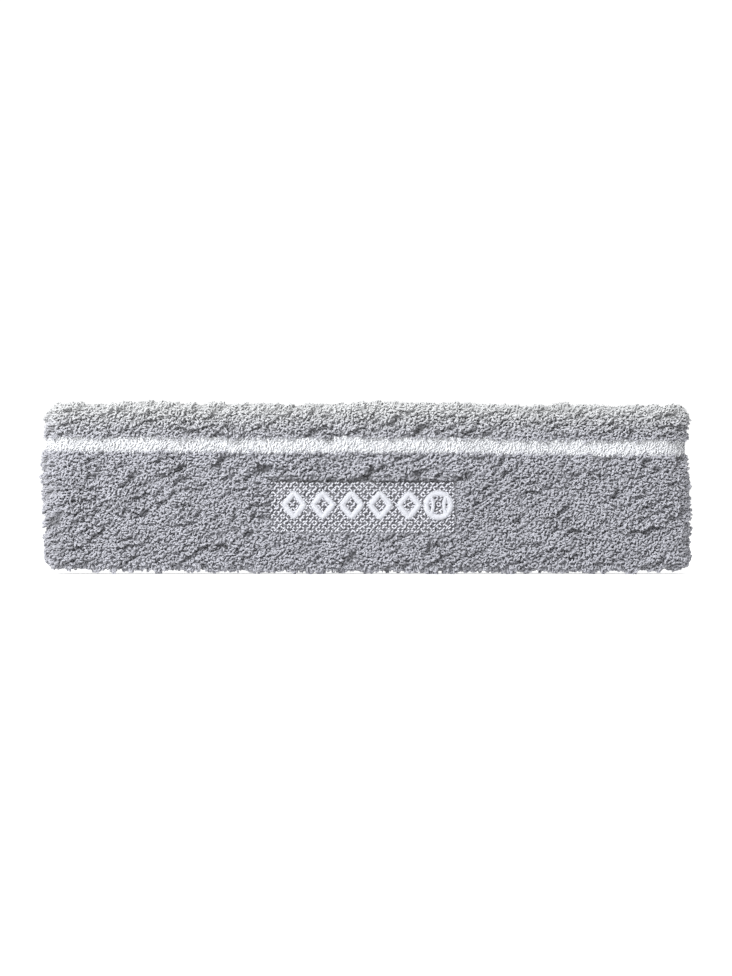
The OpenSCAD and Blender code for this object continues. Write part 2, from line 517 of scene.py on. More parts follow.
def loop_shapes(tree, yarn, height, width, sides):
    """The kinds of loop, each a short tube bent over two feet, as a list of sockets."""
    profile = thread_profile(tree, sides, number(tree, "MULTIPLY", yarn, 0.5))
    profile = mark_around(tree, profile)
    shapes = []
    for lean, twist, tall in LOOP_KINDS:
        top = number(tree, "MULTIPLY", height, HANDLE_RISE * tall)
        sink = number(tree, "MULTIPLY", yarn, -FOOT_SINK)

        def corner(x_share, y_share, z):
            x = number(tree, "MULTIPLY", width, x_share)
            y = number(tree, "MULTIPLY", width, y_share)
            return combine(tree, x, y, z)

        curve = arch(tree, LOOP_POINTS, corner(-0.5, 0.0, sink), corner(-LOOP_BULGE, lean, top),
                     corner(LOOP_BULGE + twist, lean * 0.4 - twist, top),
                     corner(0.5, twist * 0.5, sink))
        shapes.append(put(tree, "GeometryNodeSetShadeSmooth",
                          {"Geometry": thick(tree, curve, profile)}))
    return shapes


def pile_tree():
    """Covers the marked faces of a bed with loops of yarn, and joins the bed to them."""
    tree = new_tree("Towelling pile", [
        ("Yarn thickness", "Float", 0.0005), ("Loop height", "Float", 0.001),
        ("Loop width", "Float", 0.001), ("Density", "Float", 1.5e6),
        ("Least distance", "Float", 0.0004), ("Yarn sides", "Int", 4), ("Lay", "Float", 0.4),
        ("Slant", "Float", 0.4), ("Spread", "Float", 1.2), ("Seed", "Int", 1),
        ("Material", "Material", None)])
    given = add(tree, "NodeGroupInput")
    seed = out(given, "Seed")

    def seeded(step):
        return number(tree, "ADD", seed, step)

    points = add(tree, "GeometryNodeDistributePointsOnFaces", {
        "Mesh": out(given, "Geometry"), "Selection": named(tree, "pile_face", "BOOLEAN"),
        "Distance Min": out(given, "Least distance"), "Density Max": out(given, "Density"),
        "Seed": seed}, distribute_method="POISSON")
    normal = out(points, "Normal")
    jitter = put(tree, "FunctionNodeRandomValue",
                 {"Min": (-1, -1, -1), "Max": (1, 1, 1), "Seed": seeded(1)},
                 data_type="FLOAT_VECTOR")
    tilt = vector(tree, "SCALE", jitter, scale=out(given, "Lay"))
    leaning = vector(tree, "ADD", normal, named(tree, "lean", "FLOAT_VECTOR"))
    up = vector(tree, "NORMALIZE", vector(tree, "ADD", leaning, tilt))
    spin = number(tree, "MULTIPLY_ADD", random_number(tree, -1.0, 1.0, seeded(2)),
                  out(given, "Spread"), out(given, "Slant"))
    along = named(tree, "along", "FLOAT_VECTOR")
    across = vector(tree, "CROSS_PRODUCT", normal, along)
    heading = vector(tree, "ADD",
                     vector(tree, "SCALE", along, scale=number(tree, "COSINE", spin)),
                     vector(tree, "SCALE", across, scale=number(tree, "SINE", spin)))
    facing = put(tree, "FunctionNodeAxesToRotation",
                 {"Primary Axis": up, "Secondary Axis": heading},
                 primary_axis="Z", secondary_axis="X")
    shapes = loop_shapes(tree, out(given, "Yarn thickness"), out(given, "Loop height"),
                         out(given, "Loop width"), out(given, "Yarn sides"))
    which = put(tree, "FunctionNodeRandomValue",
                {"Min": 0, "Max": len(LOOP_KINDS) - 1, "Seed": seeded(3)}, data_type="INT")
    size = random_number(tree, *LOOP_SIZES, seeded(4))
    wide = random_number(tree, *LOOP_WIDTHS, seeded(5))
    tall = number(tree, "MULTIPLY", size, named(tree, "pile_height"))
    loops = put(tree, "GeometryNodeInstanceOnPoints", {
        "Points": out(points, "Points"), "Pick Instance": True, "Instance Index": which,
        "Instance": put(tree, "GeometryNodeGeometryToInstance", {"Geometry": shapes}),
        "Rotation": facing, "Scale": combine(tree, size, wide, tall)})
    # The loop's random tone, lowered by painted shade where it stands in a crease, in the patch's
    # recess or under the pile above the patch.
    tone = number(tree, "MULTIPLY_ADD", named(tree, "depth"), -PAINTED_CREASE_SHADE,
                  random_number(tree, *LOOP_TONES, seeded(6)))
    loops = store(tree, loops, "tone", tone, "INSTANCE")
    loops = store(tree, loops, "cell", put(tree, "GeometryNodeInputIndex"), "INSTANCE")
    count = out(add(tree, "GeometryNodeAttributeDomainSize",
                    {"Geometry": out(points, "Points")}, component="POINTCLOUD"), "Point Count")
    side = number(tree, "CEIL", number(tree, "SQRT", count))
    real = put(tree, "GeometryNodeRealizeInstances", {"Geometry": loops})
    cell = named(tree, "cell")
    column = number(tree, "MODULO", cell, side)
    row = number(tree, "FLOOR", number(tree, "DIVIDE", cell, side))

    def in_cell(start, share):
        inner = number(tree, "MULTIPLY_ADD", named(tree, share), 1 - 2 * CELL_EDGE, CELL_EDGE)
        return number(tree, "DIVIDE", number(tree, "ADD", start, inner), side)

    v = number(tree, "MULTIPLY", in_cell(row, "around"), LOOP_MAP_V)
    at = combine(tree, in_cell(column, "along_loop"), v, 0.0)
    real = store(tree, real, "OFBake", at, "CORNER", "FLOAT2")
    joined = put(tree, "GeometryNodeJoinGeometry", {"Geometry": [out(given, "Geometry"), real]})
    return finish_tree(tree, joined, out(given, "Material"))


def stitch_tree():
    """Lays an arched stitch of thread on every point, along its stored direction."""
    tree = new_tree("Laid stitches", [
        ("Thread width", "Float", 0.0004), ("Thread height", "Float", 0.0003),
        ("Rise", "Float", 0.0003), ("Sink", "Float", 0.0002), ("Sides", "Int", 4),
        ("Uneven", "Float", 0.1), ("Seed", "Int", 1), ("Material", "Material", None)])
    given = add(tree, "NodeGroupInput")
    seed = out(given, "Seed")
    flat = combine(tree, out(given, "Thread width"), out(given, "Thread height"), 1.0)
    ring = thread_profile(tree, out(given, "Sides"), 0.5)
    ring = put(tree, "GeometryNodeTransform", {"Geometry": ring, "Scale": flat})
    low = number(tree, "MULTIPLY", out(given, "Sink"), -1.0)
    top = number(tree, "MULTIPLY", out(given, "Rise"), HANDLE_RISE)
    curve = arch(tree, STITCH_POINTS, combine(tree, -0.5, 0.0, low), combine(tree, -0.46, 0.0, top),
                 combine(tree, 0.46, 0.0, top), combine(tree, 0.5, 0.0, low))
    curve = put(tree, "GeometryNodeSetCurveNormal", {"Curve": curve}, mode="MINIMUM_TWIST")
    stitch = thick(tree, curve, mark_around(tree, ring))
    facing = put(tree, "FunctionNodeAxesToRotation",
                 {"Primary Axis": named(tree, "across", "FLOAT_VECTOR"),
                  "Secondary Axis": named(tree, "away", "FLOAT_VECTOR")},
                 primary_axis="X", secondary_axis="Z")
    least = number(tree, "SUBTRACT", 1.0, out(given, "Uneven"))
    most = number(tree, "ADD", 1.0, out(given, "Uneven"))
    span = number(tree, "MULTIPLY", named(tree, "span"), random_number(tree, least, most, seed))
    tall = random_number(tree, least, most, number(tree, "ADD", seed, 1))
    stitches = put(tree, "GeometryNodeInstanceOnPoints", {
        "Points": put(tree, "GeometryNodeMeshToPoints", {"Mesh": out(given, "Geometry")}),
        "Instance": stitch, "Rotation": facing, "Scale": combine(tree, span, 1.0, tall)})
    tone = random_number(tree, 0.0, 1.0, number(tree, "ADD", seed, 2))
    stitches = store(tree, stitches, "tone", tone, "INSTANCE")
    real = put(tree, "GeometryNodeRealizeInstances", {"Geometry": stitches})
    real = put(tree, "GeometryNodeSetShadeSmooth", {"Geometry": real})
    return finish_tree(tree, real, out(given, "Material"))


def lay_stitches(name, starts, ends, away, sizes):
    """A piece of thread stitches. starts, ends and away hold a point, a point and a direction for
    each, and sizes the tree's inputs."""
    made = make_object(name, (starts + ends) / 2, [])
    run = ends - starts
    point_values(made.data, "across", run)
    point_values(made.data, "away", away)
    point_values(made.data, "span", np.linalg.norm(run, axis=1) * MM)
    return apply_tree(made, "Laid stitches", stitch_tree, sizes)


def outward(s, z):
    """Unit directions away from the loop's middle plane."""
    run = place(s, FACE, z) - place(s, SKIN, z)
    return run / np.linalg.norm(run, axis=-1, keepdims=True)


def apply_tree(made, name, make_tree, values):
    """Runs a tree on an object and puts the result in its place as a plain mesh."""
    tree = bpy.data.node_groups.get(name) or make_tree()
    modifier = made.modifiers.new(tree.name, "NODES")
    modifier.node_group = tree
    items = tree.interface.items_tree
    names = {item.name: item.identifier for item in items if item.in_out == "INPUT"}
    for key, value in values.items():
        modifier[names[key]] = value
    depsgraph = bpy.context.evaluated_depsgraph_get()
    depsgraph.update()
    mesh = bpy.data.meshes.new_from_object(made.evaluated_get(depsgraph),
                                           preserve_all_data_layers=True, depsgraph=depsgraph)
    made.modifiers.clear()
    old, made.data = made.data, mesh
    bpy.data.meshes.remove(old)
    mesh.name = made.name
    return made


# ---- Materials

class Wire:
    """A number in a shader. Python's operators on it add Math nodes."""

    def __init__(self, finish, socket):
        self.finish, self.socket = finish, socket

    def _math(self, operation, *numbers):
        node = self.finish.node("ShaderNodeMath", dict(enumerate(numbers)), operation=operation)
        return Wire(self.finish, node.outputs[0])

    def __add__(self, other):
        return self._math("ADD", self, other)

    def __sub__(self, other):
        return self._math("SUBTRACT", self, other)

    def __rsub__(self, other):
        return self._math("SUBTRACT", other, self)

    def __mul__(self, other):
        return self._math("MULTIPLY", self, other)

    def __abs__(self):
        return self._math("ABSOLUTE", self)

    __radd__, __rmul__ = __add__, __mul__

    def sine(self):
        return self._math("SINE", self)

    def between(self, low, high):
        """This number eased from low and high onto 0 and 1."""
        node = self.finish.node("ShaderNodeMapRange", {0: self, 1: low, 2: high, 3: 0.0, 4: 1.0},
                                interpolation_type="SMOOTHSTEP")
        return Wire(self.finish, node.outputs[0])


class Finish:
    """A material with its Principled node, and short ways to add what feeds it."""

    def __init__(self, name, colour, roughness, sheen=0.0):
        self.material = bpy.data.materials.new(name)
        self.material.use_nodes = True
        self.tree = self.material.node_tree
        self.main = next(n for n in self.tree.nodes if n.type == "BSDF_PRINCIPLED")
        for key, value in (("Base Color", (*colour, 1)), ("Roughness", roughness),
                           ("Sheen Weight", sheen), ("Sheen Roughness", 0.6),
                           ("Sheen Tint", (1, 1, 1, 1)), ("Specular IOR Level", 0.25)):
            self.main.inputs[key].default_value = value
        self.material.diffuse_color = (*colour, 1)
        self.place = self.node("ShaderNodeTexCoord").outputs["Object"]

    def node(self, kind, inputs=None, **settings):
        """Adds a node, sets its settings first, and then its sockets."""
        node = self.tree.nodes.new(kind)
        for key, value in settings.items():
            setattr(node, key, value)
        for key, value in (inputs or {}).items():
            value = value.socket if isinstance(value, Wire) else value
            if isinstance(value, bpy.types.NodeSocket):
                self.tree.links.new(value, node.inputs[key])
            else:
                node.inputs[key].default_value = value
        return node

    def stored(self, name):
        """A number stored on the mesh."""
        node = self.node("ShaderNodeAttribute", attribute_name=name)
        return Wire(self, node.outputs["Fac"])

    def height(self):
        """Height above the floor, in millimetres."""
        parts = self.node("ShaderNodeSeparateXYZ", {0: self.place})
        return Wire(self, parts.outputs["Z"]) * (1 / MM)

    def speckle(self, size, detail=2.0):
        """Noise from 0 to 1 with lumps of that size in millimetres."""
        node = self.node("ShaderNodeTexNoise", {"Vector": self.place, "Scale": 1 / (size * MM),
                                                "Detail": detail})
        return Wire(self, node.outputs[0])

    def mix(self, share, a, b):
        """A colour between the colours a and b."""
        node = self.node("ShaderNodeMix", {0: share, 6: (*a, 1), 7: (*b, 1)}, data_type="RGBA")
        return node.outputs[2]

    def shade(self, colour, amount):
        """A colour made darker or lighter by a number."""
        node = self.node("ShaderNodeVectorMath", {0: colour, "Scale": amount}, operation="SCALE")
        return node.outputs[0]

    def feed(self, colour, roughness=None, bump=None, strength=0.4, depth=0.05):
        """Links what varies over the surface. bump is a height from 0 to 1 of that depth in
        millimetres."""
        self.tree.links.new(colour, self.main.inputs["Base Color"])
        if roughness is not None:
            self.tree.links.new(roughness.socket, self.main.inputs["Roughness"])
        if bump is not None:
            node = self.node("ShaderNodeBump", {"Strength": strength, "Distance": depth * MM,
                                                "Height": bump})
            self.tree.links.new(node.outputs[0], self.main.inputs["Normal"])
        return self.material


def tuned(colour, factor):
    return tuple(min(1.0, c * factor) for c in colour)


def pile_finish(name, colour, lit_top_colour, painted_root_shade=0.72, blotch=0.4):
    """Cotton pile, with painted shade: each loop is painted darker towards its feet, and the bare bed
    between the loops darker still, less so in the top few millimetres of the band. The loops also
    differ in tone from loop to loop and in soft blotches, and loops in creases carry the painted
    crease shade in their tone. The number given for the loops' feet sets how dark their painted shade
    is, and blotch is how much the loops differ."""
    f = Finish(name, colour, 0.95, sheen=0.25)
    rise = 1 - abs(f.stored("along_loop") * 2 - 1)
    tone = f.stored("tone")
    patches = f.speckle(5.0, 3.0)
    # Painted light: the colour turns towards the lighter top grey over the upper 12 mm, for the light
    # from above.
    base = f.mix(f.height().between(BAND_H - 12, BAND_H), colour, lit_top_colour)
    # Painted shade at the loops' feet, eased off towards the top edge.
    edge = f.height().between(BAND_H - 6, BAND_H - 1)
    shade = painted_root_shade + (0.9 - painted_root_shade) * edge
    level = shade + (1 - shade) * rise.between(0.05, 0.75)
    uneven = blotch * (1 - 0.65 * edge)
    # The bed has no tone, so it comes out darker: painted shade between the loops.
    level = level * (1 + (tone - 0.8) * uneven) * (0.88 + patches * 0.24)
    fibres = f.speckle(0.16, 4.0)
    colour_out = f.shade(base, level * (0.94 + fibres * 0.12))
    return f.feed(colour_out, 0.86 + fibres * 0.14, fibres, 0.5, 0.06)


def knit_finish(name, colour, course=0.9):
    """Fine plain knit: rows of stitches along the loop, one for every course in millimetres."""
    f = Finish(name, colour, 0.9, sheen=0.15)
    rows = (f.height() * (2 * math.pi / course)).sine()
    grain = f.speckle(0.3, 3.0)
    stitch = rows * 0.5 + 0.5
    colour_out = f.mix(stitch, tuned(colour, 0.7), colour)
    return f.feed(colour_out, 0.8 + grain * 0.2, stitch * grain, 0.6, 0.15)


def thread_finish(name, colour, roughness=0.5):
    """Twisted thread with a light sheen."""
    f = Finish(name, colour, roughness, sheen=0.2)
    grain = f.speckle(0.22)
    return f.feed(f.shade(colour, 0.84 + grain * 0.3), roughness * 0.8 + grain * 0.3, grain,
                  0.35, 0.04)


# ---- Pieces shared by the operators

BEND_REACH = 11.0       # how far a wall's bend reaches to both sides of its hinge
# Material slot of each layer, and how far its bend reaches to both sides of a fold's hinge
LAYERS = {"outer_terry": ("grey_terry", 4.4), "stripe": ("white_terry", 4.4),
          "ground_knit": ("ground_knit", 3.0), "elastic_threads": ("elastane", 3.0),
          "inner_terry": ("inner_grey_terry", 2.4), "closing_seam": ("seam_thread", 2.4)}


def stands_for(made, layer, length):
    """The piece stands for its layer on both panels, whose parts it hides. Where its length's hinge
    lies is worked out, but the piece is not bent across it.
    """
    slot, fold_reach = LAYERS[layer]
    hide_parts(f"{length.body_a}_{layer}", f"{length.body_b}_{layer}")
    x, y, z = (v * MM for v in HINGES[length.hinge])
    centre, reach = Vector((x, y, z)), BEND_REACH * MM
    way = Vector((math.copysign(1, x), 0, 0))
    if "back" in length.hinge:
        way.x = -way.x
    if "fold" in length.hinge:
        way = Vector((way.x, 1, 0)).normalized()
        fold_axis = Vector((math.copysign(FOLD_X * MM, x), 0, 0))
        centre = centre + way * (fold_axis - Vector((x, y, 0))).dot(way)
        reach = fold_reach * MM
    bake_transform(made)


PILE_INSET = 0.95      # how far the beds lie under the frame's faces, for the loops
BED_ROOM = GROUND_IN - SKIN - PILE_INSET - 0.13   # how far a bed may sink before it meets the knit
BED_STEP = 0.65
BACK_SKIP = 5          # rows of a bed for each row of its hidden back
BACK_STEP = 4.0
KNIT_STEP = 2.5

RIDGE_PITCH = 3.1       # from one ridge to the next
RIDGE_SLOPE = 0.4
STEEP = 0.18            # share of the pitch in which a ridge rises from its crease


def ridges(s, z):
    """Slanting ridges that overhang the crease below them: height from 0 to 1, and how far a place
    lies in the crease."""
    wander = field(s, z, 7.0, 2.2, stretch=1.6, slope=RIDGE_SLOPE) * 1.1
    wander = wander + field(s, z, 2.4, 8.8) * 0.4
    run = (s * math.sin(RIDGE_SLOPE) - z * math.cos(RIDGE_SLOPE)) / RIDGE_PITCH + wander
    part = run - np.floor(run)
    strong = smooth(-0.35, 0.15, field(s, z, 4.5, 7.9, stretch=2.0, slope=RIDGE_SLOPE))
    height = np.where(part < STEEP, 1 - part / STEEP, (part - STEEP) / (1 - STEEP))
    crease = np.exp(-((part - 0.2) / 0.15) ** 2)
    return 0.5 + (height - 0.5) * strong, strong * crease


def lumps(s, z):
    """Relief of a bed in millimetres: tufts on slanting ridges."""
    tufts = field(s, z, 2.0, 3.1, stretch=1.8, slope=0.5)
    swell = field(s, z, 6.0, 5.3, stretch=1.4, slope=0.5)
    return 0.38 * tufts + 0.15 * swell + 1.2 * (ridges(s, z)[0] - 0.5)


def in_patch(s, z):
    """How far a place lies in the embroidered patch, from 0 to 1."""
    (x0, _, z0), (x1, _, z1) = PATCH_LOW, PATCH_HIGH
    x_part = smooth(x0 - 0.6, x0 + 0.4, s) * (1 - smooth(x1 - 0.4, x1 + 0.6, s))
    z_part = smooth(z0 - 1.2, z0 + 0.6, z) * (1 - smooth(z1 - 0.1, z1 + 0.3, z))
    return x_part * z_part


def dress_bed(made, s, z, tall, ridged, patch, leans):
    """Stores on a bed how tall its loops are, which way they lean, their direction, and how far each
    stands in a crease, which later paints the loops there darker as painted shade. s and z are the
    places of the bed's columns and rows. ridged is how strongly the loops follow the ridges, and leans
    says that they lean over the stripe's edges."""
    mesh = made.data
    s_all = np.repeat(s.ravel(), len(z))
    z_all = np.tile(z, len(s))
    eps = 0.3
    relief = lumps(s_all, z_all)
    slope_s = (lumps(s_all + eps, z_all) - relief) / eps
    slope_z = (lumps(s_all, z_all + eps) - relief) / eps
    along = place(s_all + 0.05, MID, z_all) - place(s_all - 0.05, MID, z_all)
    along /= np.linalg.norm(along, axis=1, keepdims=True)
    up = np.array([0, 0, 1.0])
    lean = 0.55 * ridged * (slope_s[:, None] * along + slope_z[:, None] * up)
    if leans:
        over = smooth(STRIPE_Z0 - 1.2, STRIPE_Z0, z_all) * (z_all < STRIPE_Z0 + 0.1)
        under = (1 - smooth(STRIPE_Z1, STRIPE_Z1 + 1.2, z_all)) * (z_all > STRIPE_Z1 - 0.1)
        lean[:, 2] += 0.4 * (over - under)
    crease = ridged * ridges(s_all, z_all)[1]
    height = tall * (1 + 0.8 * ridged * relief) * (1 - 0.75 * crease)
    height = height * (1 - 0.4 * smooth(BAND_H - 4, BAND_H - 1, z_all))
    if patch:
        top = PATCH_HIGH[2]
        lean[:, 2] -= 0.3 * in_patch(s_all, z_all - 1.1) * (z_all > top + 0.5)
        sunk = in_patch(s_all, z_all)
        overhang = in_patch(s_all, z_all - 1.0) * np.exp(-((z_all - top - 0.2) / 0.5) ** 2)
        # Painted shade and a painted shadow: the patch's recess and a thin line under the pile that
        # overhangs the patch's top edge count as crease, so their loops are painted darker.
        crease = np.clip(crease * (1 - sunk) + 0.55 * sunk + overhang, 0, 1)
        height = height * (1 - 0.66 * sunk) * (1 - 0.85 * overhang)
    hidden = len(mesh.vertices) - len(s_all)
    for name, values, blank in (("lean", lean, (0, 0, 0)), ("along", along, (1, 0, 0)),
                                ("pile_height", height, 0), ("depth", crease, 0)):
        rest = np.broadcast_to(np.asarray(blank, float), (hidden,) + values.shape[1:])
        point_values(mesh, name, np.concatenate([values, rest]))


def pile_piece(name, layer, length, front, back, density, finish, relief, first_seed=0, tall=1.0,
               ridged=1.0, patch=False, leans=True, **changes):
    """One length of a pile layer: a bed swept along the loop and covered with loops of yarn. Where
    the loops are only seen from behind they are fewer, thicker and of three sides. changes holds
    the tree's inputs that differ, with _ for each space."""
    sizes = bpy.context.scene.headband_pile
    made, s = shell(f"{name}_{length.name}", front, back, length, BED_STEP, relief, skip=BACK_SKIP)
    dress_bed(made, s, front[:, 1], tall, ridged, patch, leans)
    at_front = "front" in length.name
    given = {
        "Yarn thickness": sizes.yarn * (1 if at_front else 1.15),
        "Loop height": sizes.loop_height, "Loop width": sizes.loop_width,
        "Density": density / MM ** 2 * (1 if at_front else 0.6),
        "Least distance": (0.38 if at_front else 0.48) * MM, "Yarn sides": 4 if at_front else 3,
        "Lay": 0.4, "Slant": 0.45, "Spread": 0.95, "Material": finish,
        "Seed": sizes.seed + first_seed + LENGTHS.index(length) * 40}
    given.update((key.replace("_", " "), value) for key, value in changes.items())
    apply_tree(made, "Towelling pile", pile_tree, given)
    stands_for(made, layer, length)


def tube(s0, s1, d, z, radius, sides, step):
    """Points and faces of a closed tube that runs along the loop."""
    count = max(2, int(round((s1 - s0) / step)) + 1)
    s = np.linspace(s0, s1, count)[:, None]
    angle = np.arange(sides) * 2 * math.pi / sides
    points = place(s, d + radius * np.cos(angle), z - radius * np.sin(angle)).reshape(-1, 3)
    faces = grid_faces(count, sides, closed=True)
    faces.append(tuple(range(sides))[::-1])
    faces.append(tuple(range((count - 1) * sides, count * sides)))
    return points, faces


def rounded(low_d, high_d, low_z, high_z, radius, step):
    """A closed rounded rectangle in the wall's section, clockwise."""
    corners = ((high_d - radius, high_z - radius, 0), (low_d + radius, high_z - radius, 90),
               (low_d + radius, low_z + radius, 180), (high_d - radius, low_z + radius, 270))
    parts = [arc(d, z, radius, start, start + 90, 5) for d, z, start in corners]
    walls = []
    for i, part in enumerate(parts):
        walls += [part, line(part[-1], parts[(i + 1) % 4][0], step)[1:-1]]
    return np.concatenate([w for w in walls if len(w)])[::-1]


# ---- Operators

class HEADBAND_OT_ground_knit(bpy.types.Operator):
    """Fine knitted ground, folded double with a slit between its two layers"""
    bl_idname = "headband.ground_knit"
    bl_label = "Ground knit"

    def execute(self, context):
        finish = knit_finish("Ground knit", tuned(context.scene.headband_colours.grey, 0.8))
        outer = rounded(GROUND_IN, GROUND_OUT, GROUND_Z0, BAND_H - GROUND_Z0, 0.9, KNIT_STEP)
        layer = (GROUND_OUT - GROUND_IN) * 0.35
        centre = np.array([(GROUND_IN + GROUND_OUT) / 2, BAND_H / 2])
        inner = centre + (outer - centre) * (0.3, 1 - 2 * layer / BAND_H)
        inner[:, 0] = np.clip(inner[:, 0], GROUND_IN + layer, GROUND_OUT - layer)
        for length in LENGTHS:
            made, _ = shell(f"ground_knit_{length.name}", outer, inner, length, KNIT_STEP,
                            closed=True)
            made.data.materials.append(finish)
            stands_for(made, "ground_knit", length)
        return {"FINISHED"}


class HEADBAND_OT_elastic_threads(bpy.types.Operator):
    """Covered elastic threads along both layers of the ground knit"""
    bl_idname = "headband.elastic_threads"
    bl_label = "Elastic threads"

    def execute(self, context):
        finish = thread_finish("Covered elastic", (0.78, 0.76, 0.71), 0.6)
        inset = (GROUND_OUT - GROUND_IN) * 0.19
        for length in LENGTHS:
            points, faces = [], []
            for d in (GROUND_IN + inset, GROUND_OUT - inset):
                for z in range(5, 46, 4):
                    more, some = tube(length.start, length.end, d, z, 0.25, 6, 3.0)
                    start = sum(len(p) for p in points)
                    faces += [tuple(i + start for i in face) for face in some]
                    points.append(more)
            made = make_object(f"elastic_threads_{length.name}", np.concatenate(points), faces, finish)
            stands_for(made, "elastic_threads", length)
        return {"FINISHED"}


class HEADBAND_OT_outer_terry(bpy.types.Operator):
    """Grey looped pile below and above the stripe, wrapped round both edges"""
    bl_idname = "headband.outer_terry"
    bl_label = "Outer towelling"

    def execute(self, context):
        colours = context.scene.headband_colours
        density = context.scene.headband_pile.outer_density
        finish = pile_finish("Grey towelling", tuple(colours.grey), tuple(colours.grey_top))
        face, skin = FACE - PILE_INSET, SKIN + PILE_INSET
        r, g = (face - skin) / 2, (GROUND_OUT - GROUND_IN) / 2
        low = PILE_INSET + r
        high = BAND_H - low
        lower = join_path(line((face, STRIPE_Z0), (face, low), BED_STEP),
                          arc(MID, low, r, 0, -180, 9))
        lower_back = join_path(line((GROUND_OUT, STRIPE_Z0), (GROUND_OUT, low), BACK_STEP),
                               arc(MID, low, g, 0, -180, 7))
        upper = join_path(arc(MID, high, r, 180, 0, 9),
                          line((face, high), (face, STRIPE_Z1), BED_STEP))
        upper_back = join_path(arc(MID, high, g, 180, 0, 7),
                               line((GROUND_OUT, high), (GROUND_OUT, STRIPE_Z1), BACK_STEP))
        for length in LENGTHS:
            at_patch = length.name.startswith("front")
            pile_piece("lower_terry", "outer_terry", length, lower, lower_back, density, finish,
                       self.relief, patch=at_patch)
            pile_piece("upper_terry", "outer_terry", length, upper, upper_back, density, finish,
                       self.relief, first_seed=500)
        return {"FINISHED"}

    @staticmethod
    def relief(s, d, z):
        """Lumps that are calmer on the inside, round the side folds and beside the stripe, with
        the patch pressed in and a lip above it."""
        out_side = smooth(MID, MID + 1, d)
        at_stripe = np.exp(-(np.maximum(STRIPE_Z0 - z, z - STRIPE_Z1) / 1.2) ** 2)
        from_middle = np.minimum(np.abs(s), HALF_LOOP - np.abs(s))
        calm = (1 - 0.5 * at_stripe) * (1 - 0.5 * smooth(FOLD_X, FOLD_X + 4, from_middle))
        lifted = lumps(s, z) * (0.3 + 0.7 * out_side) * calm
        sunk = in_patch(s, z) * out_side
        lip = in_patch(s, z - 1.6) * np.exp(-((z - PATCH_HIGH[2] - 1.2) / 0.7) ** 2) * out_side
        return np.maximum(lifted * (1 - 0.7 * sunk) - 0.34 * sunk + 0.45 * lip, -BED_ROOM)


class HEADBAND_OT_stripe(bpy.types.Operator):
    """White stripe of short pile round the band"""
    bl_idname = "headband.stripe"
    bl_label = "White stripe"

    def execute(self, context):
        white = tuple(context.scene.headband_colours.white)
        density = context.scene.headband_pile.stripe_density
        # Only a faint painted shade at the feet of the white loops.
        finish = pile_finish("White towelling", white, white, painted_root_shade=0.92, blotch=0.04)
        bed = STRIPE_FACE - 0.5
        front = line((bed, STRIPE_Z1), (bed, STRIPE_Z0), 0.6)
        back = line((GROUND_OUT, STRIPE_Z1), (GROUND_OUT, STRIPE_Z0), BACK_STEP)
        for length in LENGTHS:
            pile_piece("white_stripe", "stripe", length, front, back, density, finish, self.relief,
                       first_seed=900, tall=0.35, ridged=0.1, leans=False,
                       Lay=0.25, Slant=1.3, Spread=0.8)
        return {"FINISHED"}

    @staticmethod
    def relief(s, d, z):
        """A trace of the lumps, and the fine rows of the knit."""
        return np.clip(0.15 * lumps(s, z) + 0.05 * np.sin(s * 2 * math.pi / 1.05), -0.3, 0.3)


class HEADBAND_OT_inner_terry(bpy.types.Operator):
    """Grey looped pile on the side that faces the head"""
    bl_idname = "headband.inner_terry"
    bl_label = "Inner towelling"

    def execute(self, context):
        colours, sizes = context.scene.headband_colours, context.scene.headband_pile
        # The top grey here is painted light too.
        finish = pile_finish("Inner towelling", tuned(colours.grey, 0.97),
                             tuned(colours.grey_top, 0.97))
        skin, low = SKIN + PILE_INSET, (FACE - SKIN) / 2
        front = line((skin, low), (skin, BAND_H - low), 1.0)
        back = line((GROUND_IN, low), (GROUND_IN, BAND_H - low), BACK_STEP)
        for length in LENGTHS:
            pile_piece("inner_terry", "inner_terry", length, front, back, sizes.inner_density,
                       finish, self.relief, first_seed=1300, tall=0.9, Yarn_sides=3,
                       Least_distance=0.52 * MM, Yarn_thickness=sizes.yarn * 1.25)
        return {"FINISHED"}

    @staticmethod
    def relief(s, d, z):
        """Lumps with a hollow along the closing seam."""
        return np.maximum(0.6 * lumps(s, z) - 0.3 * np.exp(-((z - SEAM_Z) / 0.9) ** 2), -BED_ROOM)


class HEADBAND_OT_closing_seam(bpy.types.Operator):
    """Row of linked stitches that closes the doubled tube on the inside"""
    bl_idname = "headband.closing_seam"
    bl_label = "Closing seam"

    def execute(self, context):
        finish = thread_finish("Seam thread", tuned(context.scene.headband_colours.grey, 1.1))
        pitch, half = 2.1, 0.5
        depth = SKIN + 0.75
        sizes = {"Thread width": 0.46 * MM, "Thread height": 0.46 * MM, "Rise": 0.32 * MM,
                 "Sink": 0.3 * MM, "Sides": 6, "Material": finish}
        # Start and end of the two threads of a stitch, as shares of its pitch and of its height
        threads = (((0.0, 0.15), (0.75, 1.0)), ((0.0, -0.25), (0.6, 0.35)))
        for length in LENGTHS:
            run = length.end - length.start
            count = int(round(run / pitch))
            step = run / count
            s = length.start + (np.arange(count) + 0.1) * step
            starts, ends, away = [], [], []
            for side in (-1, 1):
                for first, last in threads:
                    z = SEAM_Z + side * half
                    z_start = z * np.ones(count) - side * first[1]
                    starts.append(place(s + first[0] * step, depth, z_start))
                    ends.append(place(s + last[0] * step, depth, z - side * half * last[1]))
                    away.append(-outward(s, z))
            starts, ends, away = (np.concatenate(v) for v in (starts, ends, away))
            made = lay_stitches(f"closing_seam_{length.name}", starts, ends, away, sizes)
            stands_for(made, "closing_seam", length)
        return {"FINISHED"}


def lozenge_line(centre, half_w, half_h):
    """Corners of a lozenge's line, from its right corner round."""
    right = (centre + half_w, 0)
    return [right, (centre, half_h), (centre - half_w, 0), (centre, -half_h), right]


